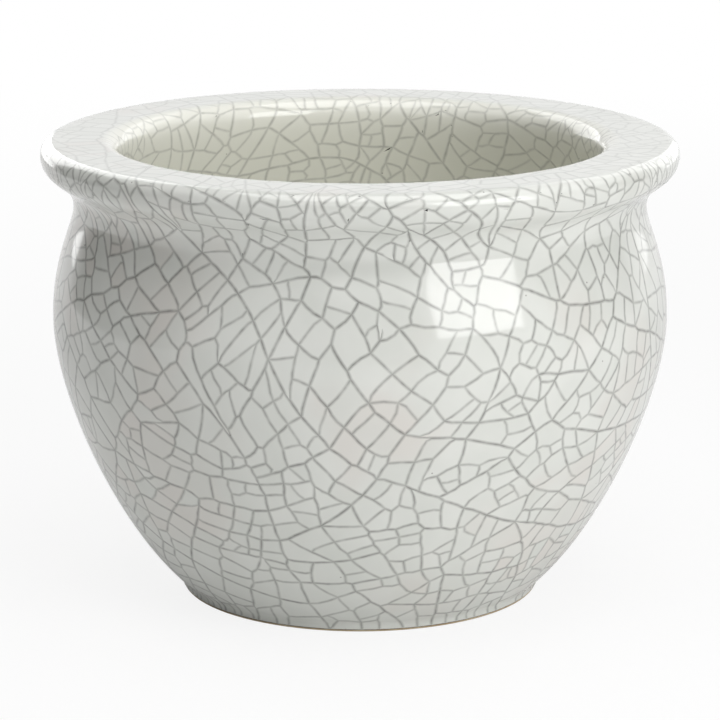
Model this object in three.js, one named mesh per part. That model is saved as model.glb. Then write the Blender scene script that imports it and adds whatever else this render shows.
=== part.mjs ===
// Fishbowl jardiniere: a thrown stoneware pot with a thick rolled rim, a full belly and a small
// turned foot, dipped in a thick crackle glaze.
//
// It is one firing: the clay carries everything, and the glaze is a glassy coat fused to it, from
// a line just above the foot, over the rim and down over the inside. A separate pool of the same
// glaze lies in the recess under the foot, so the ring that the pot stands on stays bare.
//
// Millimetres, +Z up, the pot's axis on Z, the foot standing on z = 0.

import * as THREE from "three";

// ---- Driving dimensions -------------------------------------------------------------------------

// Heights, stacked from the surface that the pot stands on.
const BOWL_HEIGHT = 134.5; // up to the widest part of the belly
const SHOULDER_HEIGHT = 54; // from there up to the neck
const RIM_HEIGHT = 31.5; // from the neck up to the flat top of the rim

// Radii, each from the one before.
const RIM_RADIUS = 152.5; // outer edge of the rim: a 12 inch pot
const RIM_OVERHANG = 15.3; // the rim's edge beyond the neck
const BELLY_SWELL = 10.85; // the belly beyond the neck
const RIM_WIDTH = 37.65; // across the rim, from its edge to the mouth
const FOOT_RADIUS = 87.4; // outer face of the glazed foot

// Walls.
const WALL = 11; // finished wall of the bowl, glazed both sides
const FLOOR = 9; // clay under the inside floor
const GLAZE = 0.6; // fired coat of glaze

// Roundings of the finished surface.
const RIM_EDGE_ROUND = 6.4; // outer edge of the rim, above
const LIP_ROUND = 8.8; // inner edge of the rim, into the mouth
const FOOT_FILLET = 4; // hollow between the foot and the wall
const FLOOR_FILLET = 16; // hollow between the inside wall and its floor

// How the curves of the wall run: the lean of the wall where it leaves the foot, and how far each
// curve keeps its direction before it turns.
const FOOT_LEAN = THREE.MathUtils.degToRad(48); // from upright
const FOOT_RUN = 40.4; // out from the foot
const BELLY_RUN = 37; // down from the widest part
const SHOULDER_RUN = 29.3; // up from the widest part
const NECK_RUN = 9; // down from the neck
const COLLAR_RUN = 15.3; // up from the neck, under the rim
const RIM_FACE_RUN = 12.8; // down from the rim's edge
const MOUTH_RUN = 16; // down from the lip, inside
const INSIDE_RUN = 36; // up from the widest part, inside

// The foot ring and the recess inside it.
const BARE_FOOT = 0.9; // bare clay between the floor and the glaze
const GLAZED_FOOT = 0.5; // upright glazed face above the roll of the glaze's edge
const FOOT_RING = 9; // width of the ring that the pot stands on
const FOOT_EDGE = 0.5; // softened edges of the ring
const RECESS = 5; // depth of the clay inside the ring
const RECESS_FILLET = 2; // hollow round the recess
const BASE_GLAZE_MARGIN = 1.2; // bare clay round the glaze in the recess

// Sides of every turned form. A multiple of four gives the box the pot's true diameter.
const SIDES = 56;

// ---- Sizes worked out from them -----------------------------------------------------------------

const HEIGHT = BOWL_HEIGHT + SHOULDER_HEIGHT + RIM_HEIGHT;
const NECK_HEIGHT = BOWL_HEIGHT + SHOULDER_HEIGHT;
const NECK_RADIUS = RIM_RADIUS - RIM_OVERHANG;
const BELLY_RADIUS = NECK_RADIUS + BELLY_SWELL;
const MOUTH_RADIUS = RIM_RADIUS - RIM_WIDTH;
const FOOT_HEIGHT = BARE_FOOT + GLAZE + GLAZED_FOOT;
const INSIDE_FLOOR = RECESS + FLOOR + GLAZE;
const CLAY_FOOT_RADIUS = FOOT_RADIUS - GLAZE;
const RECESS_RADIUS = CLAY_FOOT_RADIUS - FOOT_RING;
const BASE_GLAZE_RADIUS = RECESS_RADIUS - RECESS_FILLET - BASE_GLAZE_MARGIN;

// ---- Curves of the profile: x is the radius and y the height -------------------------------------

const QUARTER = Math.PI / 2;

const point = (radius, height) => new THREE.Vector2(radius, height);

const moved = (from, direction, distance) =>
  from.clone().addScaledVector(direction, distance);

const UP = point(0, 1);
const DOWN = point(0, -1);

function line(from, to) {
  return new THREE.LineCurve(from, to);
}

// An arc about a centre, from one angle to another: 0 points outwards and a quarter turn up.
function arc(centre, radius, from, to) {
  return new THREE.EllipseCurve(centre.x, centre.y, radius, radius, from, to, to < from);
}

// A curve that leaves `from` along one direction and comes into `to` from another, keeping each
// for the run given with it.
function sweep(from, leaving, leavingRun, to, coming, comingRun) {
  return new THREE.CubicBezierCurve(
    from,
    moved(from, leaving, leavingRun),
    moved(to, coming, comingRun),
    to,
  );
}

// The finished surface of the glaze, from its line at the foot up the outside, over the rim and
// down the inside to the middle of the floor. Each entry is a curve and its number of steps.
function finishedSurface() {
  const wallDirection = point(Math.sin(FOOT_LEAN), Math.cos(FOOT_LEAN));
  const wallInwards = point(-wallDirection.y, wallDirection.x);

  const footTop = point(FOOT_RADIUS, FOOT_HEIGHT);
  const footCentre = point(FOOT_RADIUS + FOOT_FILLET, FOOT_HEIGHT);
  const wallStart = moved(footCentre, wallInwards, FOOT_FILLET);
  const belly = point(BELLY_RADIUS, BOWL_HEIGHT);
  const neck = point(NECK_RADIUS, NECK_HEIGHT);
  const rimEdge = point(RIM_RADIUS, HEIGHT - RIM_EDGE_ROUND);
  const rimTopOuter = point(RIM_RADIUS - RIM_EDGE_ROUND, HEIGHT);
  const rimTopInner = point(MOUTH_RADIUS + LIP_ROUND, HEIGHT);
  const mouth = point(MOUTH_RADIUS, HEIGHT - LIP_ROUND);
  const bellyInside = point(BELLY_RADIUS - WALL, BOWL_HEIGHT);

  // The floor's fillet touches both the floor and the inner face of the wall, which runs beside
  // the outer one at the wall's thickness.
  const innerWallStart = moved(wallStart, wallInwards, WALL);
  const filletRow = moved(innerWallStart, wallInwards, FLOOR_FILLET);
  const filletRise = INSIDE_FLOOR + FLOOR_FILLET - filletRow.y;
  const filletCentre = moved(filletRow, wallDirection, filletRise / wallDirection.y);
  const filletTop = moved(filletCentre, wallInwards, -FLOOR_FILLET);
  const insideRun = moved(innerWallStart, wallDirection, FOOT_RUN).distanceTo(filletTop);
  const floorEdge = point(filletCentre.x, INSIDE_FLOOR);

  return [
    [line(point(FOOT_RADIUS, BARE_FOOT + GLAZE), footTop), 1],
    [arc(footCentre, FOOT_FILLET, 2 * QUARTER, 2 * QUARTER - FOOT_LEAN), 2],
    [sweep(wallStart, wallDirection, FOOT_RUN, belly, DOWN, BELLY_RUN), 7],
    [sweep(belly, UP, SHOULDER_RUN, neck, DOWN, NECK_RUN), 4],
    [sweep(neck, UP, COLLAR_RUN, rimEdge, DOWN, RIM_FACE_RUN), 6],
    [arc(rimTopOuter.clone().setY(rimEdge.y), RIM_EDGE_ROUND, 0, QUARTER), 3],
    [line(rimTopOuter, rimTopInner), 1],
    [arc(rimTopInner.clone().setY(mouth.y), LIP_ROUND, QUARTER, 2 * QUARTER), 3],
    [sweep(mouth, DOWN, MOUTH_RUN, bellyInside, UP, INSIDE_RUN), 3],
    [sweep(bellyInside, DOWN, BELLY_RUN, filletTop, wallDirection, insideRun), 4],
    [arc(filletCentre, FLOOR_FILLET, -FOOT_LEAN, -QUARTER), 2],
    [line(floorEdge, point(0, INSIDE_FLOOR)), 1],
  ];
}

// Points along a run of curves, each moved off the surface by a depth, to the left of the way that
// the curves run, which is into the pot. Where two curves meet, the point is taken once.
function pointsBelow(curves, depth) {
  const points = [];
  curves.forEach(([curve, steps], index) => {
    for (let step = index ? 1 : 0; step <= steps; step += 1) {
      const along = curve.getTangent(step / steps);
      points.push(moved(curve.getPoint(step / steps), point(-along.y, along.x), depth));
    }
  });
  points[points.length - 1].x = 0; // the last point is on the axis
  return points;
}

// The points of a single curve.
const pointsOf = (curve, steps) => curve.getPoints(steps);

// ---- Turned solids ------------------------------------------------------------------------------

// A profile turned about the axis.
function turned(profile) {
  const geometry = new THREE.LatheGeometry(profile, SIDES);
  geometry.computeVertexNormals();
  return geometry;
}

// The same surface seen from its other side.
function reversed(geometry) {
  const index = geometry.index;
  for (let corner = 0; corner < index.count; corner += 3) {
    const second = index.getX(corner + 1);
    index.setX(corner + 1, index.getX(corner + 2));
    index.setX(corner + 2, second);
  }
  geometry.computeVertexNormals();
  return geometry;
}

// The finished surface, and the clay under it from the glaze's line at the foot.
const surface = finishedSurface();
const glazeLine = point(CLAY_FOOT_RADIUS, BARE_FOOT);
const clayFace = [glazeLine, ...pointsBelow(surface, GLAZE)];

// The clay: out along the ceiling of the recess, round the foot ring, then the whole surface that
// the glaze covers, to the middle of the floor.
function clayBody() {
  const edgeOuter = point(CLAY_FOOT_RADIUS - FOOT_EDGE, FOOT_EDGE);
  const edgeInner = point(RECESS_RADIUS + FOOT_EDGE, FOOT_EDGE);
  const recessCorner = point(RECESS_RADIUS - RECESS_FILLET, RECESS - RECESS_FILLET);
  return turned([
    point(0, RECESS),
    ...pointsOf(arc(recessCorner, RECESS_FILLET, QUARTER, 0), 3),
    ...pointsOf(arc(edgeInner, FOOT_EDGE, 2 * QUARTER, 3 * QUARTER), 2),
    ...pointsOf(arc(edgeOuter, FOOT_EDGE, -QUARTER, 0), 2),
    ...clayFace,
  ]);
}

// The coat of glaze: along the clay, back along the finished surface, and round its rolled edge at
// the foot. It follows the clay the same way as the clay body does, so that the two share every
// facet, and is then turned to face outwards.
function crackleGlaze() {
  const roll = point(CLAY_FOOT_RADIUS, BARE_FOOT + GLAZE);
  return reversed(
    turned([
      ...clayFace,
      ...pointsBelow(surface, 0).reverse(),
      ...pointsOf(arc(roll, GLAZE, 0, -QUARTER), 3).slice(1, -1),
      glazeLine,
    ]),
  );
}

// The glaze in the recess: a thin round pool with a rolled edge, up against the clay.
function baseGlaze() {
  const roll = point(BASE_GLAZE_RADIUS - GLAZE, RECESS);
  return turned([
    point(0, RECESS - GLAZE),
    ...pointsOf(arc(roll, GLAZE, -QUARTER, 0), 3),
    point(0, RECESS),
  ]);
}

// ---- The pot ------------------------------------------------------------------------------------

const biscuit = new THREE.MeshStandardMaterial({
  name: "biscuit stoneware",
  color: 0xcdbfa4,
  roughness: 0.85,
  metalness: 0,
});

const celadon = new THREE.MeshStandardMaterial({
  name: "pale grey-green crackle glaze",
  color: 0xd3d6cf,
  roughness: 0.12,
  metalness: 0,
});

// A piece made about the three.js Y axis, stood up on Z.
function standing(name, geometry, material) {
  const mesh = new THREE.Mesh(geometry, material);
  mesh.name = name;
  mesh.rotation.x = QUARTER;
  return mesh;
}

const jardiniere = new THREE.Group();
jardiniere.name = "jardiniere";
jardiniere.add(
  standing("clay_body", clayBody(), biscuit),
  standing("crackle_glaze", crackleGlaze(), celadon),
  standing("base_glaze", baseGlaze(), celadon.clone()),
);

export default jardiniere;
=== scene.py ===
"""Fishbowl jardiniere in a pale crackle glaze, dressed around its packed construction.

The construction holds the fired clay, the coat of glaze on it and the glaze under its foot. Each is
turned here again as a fine surface of the same form. The glaze is then broken into cells, crack by
crack, as it breaks when it cools: long cracks first, and shorter ones that end on them.
"""

import logging
import math
import random
from collections.abc import Iterable, Sequence
from dataclasses import dataclass, replace
from enum import Enum

import bmesh
import bpy
import numpy as np
from mathutils import Matrix, Vector, noise
from mathutils.kdtree import KDTree


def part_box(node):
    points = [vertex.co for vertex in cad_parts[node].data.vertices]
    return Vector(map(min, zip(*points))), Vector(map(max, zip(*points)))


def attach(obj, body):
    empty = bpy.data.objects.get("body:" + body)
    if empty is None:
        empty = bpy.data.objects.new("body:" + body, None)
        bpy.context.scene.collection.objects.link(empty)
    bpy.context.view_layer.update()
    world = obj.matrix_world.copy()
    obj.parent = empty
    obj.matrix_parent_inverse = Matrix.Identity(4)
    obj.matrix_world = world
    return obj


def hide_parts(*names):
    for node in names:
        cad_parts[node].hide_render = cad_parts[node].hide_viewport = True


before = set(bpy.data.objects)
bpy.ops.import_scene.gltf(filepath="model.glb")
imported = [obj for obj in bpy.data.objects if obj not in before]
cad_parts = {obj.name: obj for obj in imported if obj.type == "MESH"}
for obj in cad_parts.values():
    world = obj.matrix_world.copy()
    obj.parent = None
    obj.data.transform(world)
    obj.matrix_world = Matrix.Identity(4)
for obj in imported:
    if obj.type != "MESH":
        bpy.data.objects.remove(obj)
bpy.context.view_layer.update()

log = logging.getLogger("jardiniere")

MM = 0.001
MICRON = 0.001 * MM
MERGED = 0.01 * MM  # points nearer than this are one
QUARTER = math.pi / 2
GOLDEN = (math.sqrt(5) - 1) / 2  # turns by this share never line up
TINY = 1e-9  # keeps a division by nothing away
NOISE_LOW, NOISE_HIGH = 0.3, 0.7  # soft noise seldom leaves this band
WHITE, BLACK = (1, 1, 1, 1), (0, 0, 0, 1)
BODY = "root"
FRAME_PIXELS = 720


# ---- Profiles ------------------------------------------------------------------------------------


@dataclass(frozen=True)
class Station:
    """A point of a turned profile.

    Radius and height are in millimetres, and facing is the way its surface looks, as the outward
    and the upward part of a unit vector.
    """

    radius: float
    height: float
    facing: tuple[float, float]


class Curve:
    """A stretch of a turned profile, which runs with the clay on its left."""

    def __init__(self, points: Sequence[Vector], tangents: Sequence[Vector]) -> None:
        """Keeps the points of the stretch, in millimetres, and the way that it runs at each."""
        self.points = list(points)
        self.tangents = [tangent.normalized() for tangent in tangents]

    @classmethod
    def line(cls, start: Vector, end: Vector, spacing: float) -> "Curve":
        """A straight stretch.

        Args:
            start: Where it starts.
            end: Where it ends.
            spacing: About how far apart its points are.

        Returns:
            The stretch.
        """
        steps = max(1, round((end - start).length / spacing))
        points = [start.lerp(end, step / steps) for step in range(steps + 1)]
        return cls(points, [end - start] * len(points))

    @classmethod
    def arc(
        cls, centre: Vector, radius: float, start: float, end: float, spacing: float
    ) -> "Curve":
        """A round stretch.

        Args:
            centre: The middle of the circle.
            radius: Its radius.
            start: The angle that it starts at, where 0 is outwards and a quarter turn is up.
            end: The angle that it ends at.
            spacing: About how far apart its points are.

        Returns:
            The stretch.
        """
        steps = max(2, round(radius * abs(end - start) / spacing))
        way = 1 if end > start else -1
        angles = [start + (end - start) * step / steps for step in range(steps + 1)]
        spokes = [Vector((math.cos(angle), math.sin(angle))) for angle in angles]
        return cls(
            [centre + spoke * radius for spoke in spokes],
            [Vector((-spoke.y, spoke.x)) * way for spoke in spokes],
        )

    @classmethod
    def sweep(
        cls, start: Vector, leaving: Vector, end: Vector, coming: Vector, spacing: float
    ) -> "Curve":
        """A smooth stretch that keeps a direction at each end.

        Args:
            start: Where it starts.
            leaving: The direction that it leaves in, as long as it keeps it.
            end: Where it ends.
            coming: The direction back along its end, as long as it keeps it.
            spacing: About how far apart its points are.

        Returns:
            The stretch.
        """
        first, second = start + leaving, end + coming
        hull = (first - start).length + (second - first).length + (end - second).length
        steps = max(3, round(hull / spacing))
        points, tangents = [], []
        for step in range(steps + 1):
            t = step / steps
            u = 1 - t
            points.append(
                start * u**3 + first * (3 * u * u * t) + second * (3 * u * t * t) + end * t**3
            )
            tangents.append(
                (first - start) * (u * u) + (second - first) * (2 * u * t) + (end - second) * (t * t)
            )
        return cls(points, tangents)

    def moved_in(self, depth: float) -> "Curve":
        """The same stretch, that far below the surface."""
        inwards = [Vector((-tangent.y, tangent.x)) for tangent in self.tangents]
        return Curve([p + n * depth for p, n in zip(self.points, inwards)], self.tangents)

    def reversed(self) -> "Curve":
        """The same stretch run the other way, so that it faces the other way."""
        return Curve(self.points[::-1], [-tangent for tangent in self.tangents[::-1]])

    def stations(self) -> list[Station]:
        """The stretch as stations of a profile.

        Returns:
            A station for each of its points.
        """
        return [
            Station(point.x, point.y, (tangent.y, -tangent.x))
            for point, tangent in zip(self.points, self.tangents)
        ]


class Profile:
    """A chain of stretches that is turned about the pot's axis."""

    def __init__(self, curves: Iterable[Curve]) -> None:
        """Joins the stretches, and keeps all their stations as arrays.

        Args:
            curves: The stretches, in order along the profile.
        """
        self.stations = [station for curve in curves for station in curve.stations()]
        self.places = np.array([(s.radius, s.height) for s in self.stations]) * MM
        self.facings = np.array([s.facing for s in self.stations])
        self.tree = KDTree(len(self.places))
        for index, (radius, height) in enumerate(self.places):
            self.tree.insert((radius, 0, height), index)
        self.tree.balance()

    def outline(self) -> list[Vector]:
        """The points that the turned mesh is drawn through.

        Returns:
            The points in metres, none of them twice.
        """
        outline: list[Vector] = []
        for radius, height in self.places:
            point = Vector((radius, 0, height))
            if not outline or (point - outline[-1]).length > MERGED:
                outline.append(point)
        return outline

    def nearest(self, places: np.ndarray) -> tuple[np.ndarray, np.ndarray, np.ndarray]:
        """The nearest points of the turned surface.

        Args:
            places: Points in space, one a row, in metres.

        Returns:
            The nearest point of the surface to each, the unit vector that the surface faces in
            there, and how far away it is.
        """
        flat = np.column_stack([np.hypot(places[:, 0], places[:, 1]), places[:, 2]])
        station = np.array([self.tree.find((radius, 0, height))[1] for radius, height in flat])
        best = np.full(len(flat), np.inf)
        point, facing = np.zeros_like(flat), np.zeros_like(flat)
        for side in (-1, 0):
            first = np.clip(station + side, 0, len(self.places) - 2)
            start, span = self.places[first], self.places[first + 1] - self.places[first]
            length = np.maximum((span**2).sum(axis=1), TINY**2)
            along = np.clip(((flat - start) * span).sum(axis=1) / length, 0, 1)[:, None]
            there = start + span * along
            gap = np.linalg.norm(flat - there, axis=1)
            closer = gap < best
            best[closer], point[closer] = gap[closer], there[closer]
            turn = self.facings[first] * (1 - along) + self.facings[first + 1] * along
            facing[closer] = turn[closer]
        spoke = places[:, :2] / np.maximum(flat[:, :1], TINY)
        normal = np.column_stack([spoke * facing[:, :1], facing[:, 1]])
        normal /= np.linalg.norm(normal, axis=1)[:, None]
        return np.column_stack([spoke * point[:, :1], point[:, 1]]), normal, best


@dataclass(frozen=True)
class PotForm:
    """The thrown form in millimetres, as the construction holds it."""

    bowl_height: float = 134.5  # to the widest part of the belly
    shoulder_height: float = 54.0  # from there to the neck
    rim_overhang: float = 15.3  # the rim's edge beyond the neck
    belly_swell: float = 10.85  # the belly beyond the neck
    rim_width: float = 37.65  # from the rim's edge to the mouth
    foot_radius: float = 87.4
    wall: float = 11.0
    floor: float = 9.0
    glaze: float = 0.6
    rim_edge_round: float = 6.4
    lip_round: float = 8.8
    foot_fillet: float = 4.0
    floor_fillet: float = 16.0
    foot_lean: float = math.radians(48)  # of the wall where it leaves the foot, from upright
    foot_run: float = 40.4  # each run: how far a curve keeps its direction
    belly_run: float = 37.0
    shoulder_run: float = 29.3
    neck_run: float = 9.0
    collar_run: float = 15.3
    rim_face_run: float = 12.8
    mouth_run: float = 16.0
    inside_run: float = 36.0
    bare_foot: float = 0.9
    glazed_foot: float = 0.5
    foot_ring: float = 9.0
    foot_edge: float = 0.5
    recess: float = 5.0
    recess_fillet: float = 2.0
    base_glaze_margin: float = 1.2
    broad: float = 8.5  # spacing of the mesh rows on the open walls
    tight: float = 2.7  # and round the rim, lip and foot
    fine: float = 0.3  # and round the edges of the glaze and the foot ring
    open_bend: float = 1.5  # how much closer the rows are where an open wall bends most
    rim_bend: float = 1.3  # and round the rim's edge

    @property
    def rim_radius(self) -> float:
        """The rim's outer radius, from the construction."""
        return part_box("crackle_glaze")[1].x / MM

    @property
    def height(self) -> float:
        """The height of the rim's flat top, from the construction."""
        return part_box("crackle_glaze")[1].z / MM

    @property
    def clay_foot_radius(self) -> float:
        """The outer radius of the bare foot."""
        return self.foot_radius - self.glaze

    def finished(self) -> list[Curve]:
        """The glaze's surface.

        Returns:
            Its stretches, from its line at the foot over the rim to the inside floor.
        """
        up, down = Vector((0, 1)), Vector((0, -1))
        wall_way = Vector((math.sin(self.foot_lean), math.cos(self.foot_lean)))
        inwards = Vector((-wall_way.y, wall_way.x))
        foot_height = self.bare_foot + self.glaze + self.glazed_foot
        neck_radius = self.rim_radius - self.rim_overhang
        belly_radius = neck_radius + self.belly_swell
        mouth_radius = self.rim_radius - self.rim_width
        inside_floor = self.recess + self.floor + self.glaze

        foot_line = Vector((self.foot_radius, self.bare_foot + self.glaze))
        foot_top = Vector((self.foot_radius, foot_height))
        foot_centre = Vector((self.foot_radius + self.foot_fillet, foot_height))
        wall_start = foot_centre + inwards * self.foot_fillet
        belly = Vector((belly_radius, self.bowl_height))
        neck = Vector((neck_radius, self.bowl_height + self.shoulder_height))
        edge_centre = Vector(
            (self.rim_radius - self.rim_edge_round, self.height - self.rim_edge_round)
        )
        rim_edge = edge_centre + Vector((self.rim_edge_round, 0))
        top_outer = edge_centre + up * self.rim_edge_round
        lip_centre = Vector((mouth_radius + self.lip_round, self.height - self.lip_round))
        top_inner = lip_centre + up * self.lip_round
        mouth = lip_centre - Vector((self.lip_round, 0))
        belly_inside = belly - Vector((self.wall, 0))

        inner_wall = wall_start + inwards * self.wall
        fillet_row = inner_wall + inwards * self.floor_fillet
        rise = inside_floor + self.floor_fillet - fillet_row.y
        fillet_centre = fillet_row + wall_way * (rise / wall_way.y)
        fillet_top = fillet_centre - inwards * self.floor_fillet
        inner_run = (inner_wall + wall_way * self.foot_run - fillet_top).length
        closer = self.broad / self.open_bend

        return [
            Curve.line(foot_line, foot_top, self.tight),
            Curve.arc(
                foot_centre, self.foot_fillet, math.pi, math.pi - self.foot_lean, self.tight / 2
            ),
            Curve.sweep(
                wall_start, wall_way * self.foot_run, belly, down * self.belly_run, self.broad
            ),
            Curve.sweep(belly, up * self.shoulder_run, neck, down * self.neck_run, closer),
            Curve.sweep(neck, up * self.collar_run, rim_edge, down * self.rim_face_run, self.tight),
            Curve.arc(edge_centre, self.rim_edge_round, 0, QUARTER, self.tight / self.rim_bend),
            Curve.line(top_outer, top_inner, self.broad),
            Curve.arc(lip_centre, self.lip_round, QUARTER, math.pi, self.tight),
            Curve.sweep(
                mouth, down * self.mouth_run, belly_inside, up * self.inside_run, closer
            ),
            Curve.sweep(
                belly_inside, down * self.belly_run, fillet_top, wall_way * inner_run, self.broad
            ),
            Curve.arc(fillet_centre, self.floor_fillet, -self.foot_lean, -QUARTER, self.broad / 2),
            Curve.line(
                Vector((fillet_centre.x, inside_floor)), Vector((0, inside_floor)), self.broad
            ),
        ]

    def clay_face(self, spacing: float) -> list[Curve]:
        """The clay under the whole glaze, from the glaze's line at the foot to the inside floor."""
        form = replace(self, broad=spacing)
        return [curve.moved_in(self.glaze) for curve in form.finished()]

    def glaze_coat(self, spacing: float) -> list[Curve]:
        """The closed outline of the coat.

        Args:
            spacing: About how far apart the points are where it lies on the clay.

        Returns:
            The stretches of its face, of its back along the clay, and of its rolled edge.
        """
        line = Vector((self.clay_foot_radius, self.bare_foot))
        roll_centre = line + Vector((0, self.glaze))
        back = [curve.reversed() for curve in self.clay_face(spacing)[::-1]]
        return [
            *self.finished(),
            *back,
            Curve.line(roll_centre, line, self.tight),
            Curve.arc(roll_centre, self.glaze, -QUARTER, 0, self.fine),
        ]

    def clay_outline(self, spacing: float) -> list[Curve]:
        """The outline of the clay.

        Args:
            spacing: About how far apart the points are under the glaze.

        Returns:
            The stretches of the recess, of the foot ring, and of the face under the glaze.
        """
        recess_radius = self.clay_foot_radius - self.foot_ring
        recess_corner = Vector((recess_radius, self.recess)) - Vector((1, 1)) * self.recess_fillet
        inner_edge = Vector((recess_radius + self.foot_edge, self.foot_edge))
        outer_edge = Vector((self.clay_foot_radius - self.foot_edge, self.foot_edge))
        right, down = Vector((1, 0)), Vector((0, -1))
        return [
            Curve.line(
                Vector((0, self.recess)),
                recess_corner + Vector((0, self.recess_fillet)),
                self.broad * 2,
            ),
            Curve.arc(recess_corner, self.recess_fillet, QUARTER, 0, self.fine * 2),
            Curve.line(
                recess_corner + right * self.recess_fillet,
                inner_edge - right * self.foot_edge,
                self.tight,
            ),
            Curve.arc(inner_edge, self.foot_edge, math.pi, math.pi * 1.5, self.fine),
            Curve.line(
                inner_edge + down * self.foot_edge, outer_edge + down * self.foot_edge, self.tight
            ),
            Curve.arc(outer_edge, self.foot_edge, -QUARTER, 0, self.fine),
            Curve.line(
                outer_edge + right * self.foot_edge,
                Vector((self.clay_foot_radius, self.bare_foot)),
                self.tight,
            ),
            *self.clay_face(spacing),
        ]

    def base_glaze(self) -> list[Curve]:
        """The outline of the pool of glaze in the recess under the foot.

        Returns:
            The stretches of its face, of its rolled edge, and of its back against the clay.
        """
        recess_radius = self.clay_foot_radius - self.foot_ring
        radius = recess_radius - self.recess_fillet - self.base_glaze_margin
        roll_centre = Vector((radius - self.glaze, self.recess))
        return [
            Curve.line(
                Vector((0, self.recess - self.glaze)),
                roll_centre - Vector((0, self.glaze)),
                self.broad,
            ),
            Curve.arc(roll_centre, self.glaze, -QUARTER, 0, self.fine),
            Curve.line(Vector((radius, self.recess)), Vector((0, self.recess)), self.broad * 3),
        ]


# ---- Turning -------------------------------------------------------------------------------------


def deselect_all() -> None:
    """Leaves object mode with nothing selected."""
    if bpy.context.object and bpy.context.object.mode != "OBJECT":
        bpy.ops.object.mode_set(mode="OBJECT")
    bpy.ops.object.select_all(action="DESELECT")


def turned(name: str, profile: Profile, sides: int) -> bpy.types.Object:
    """Turns a profile about the pot's axis into a closed mesh, as on a wheel.

    Args:
        name: The name of the piece.
        profile: The outline, closed or ending on the axis.
        sides: How many steps the turn takes.

    Returns:
        The piece, with its place in its mesh.
    """
    deselect_all()
    outline = profile.outline()
    bpy.ops.mesh.primitive_plane_add(size=MM, location=(0, 0, 0))
    piece = bpy.context.object
    piece.name = piece.data.name = name
    bpy.ops.object.mode_set(mode="EDIT")
    bpy.ops.mesh.select_all(action="SELECT")
    bpy.ops.mesh.merge(type="CENTER")
    bpy.ops.transform.translate(value=outline[0])
    for start, end in zip(outline, outline[1:]):
        bpy.ops.mesh.extrude_region_move(TRANSFORM_OT_translate={"value": end - start})
    bpy.ops.mesh.select_all(action="SELECT")
    bpy.ops.mesh.spin(steps=sides, angle=math.tau, center=(0, 0, 0), axis=(0, 0, 1))
    bpy.ops.mesh.select_all(action="SELECT")
    bpy.ops.mesh.remove_doubles(threshold=MERGED)
    bpy.ops.mesh.delete_loose(use_verts=True, use_edges=True, use_faces=False)
    bpy.ops.mesh.select_all(action="SELECT")
    bpy.ops.mesh.normals_make_consistent(inside=False)
    bpy.ops.object.mode_set(mode="OBJECT")
    return piece


# ---- Crackle -------------------------------------------------------------------------------------


def area_of(faces: Iterable[bmesh.types.BMFace]) -> float:
    """The area of faces together."""
    return sum(face.calc_area() for face in faces)


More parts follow.
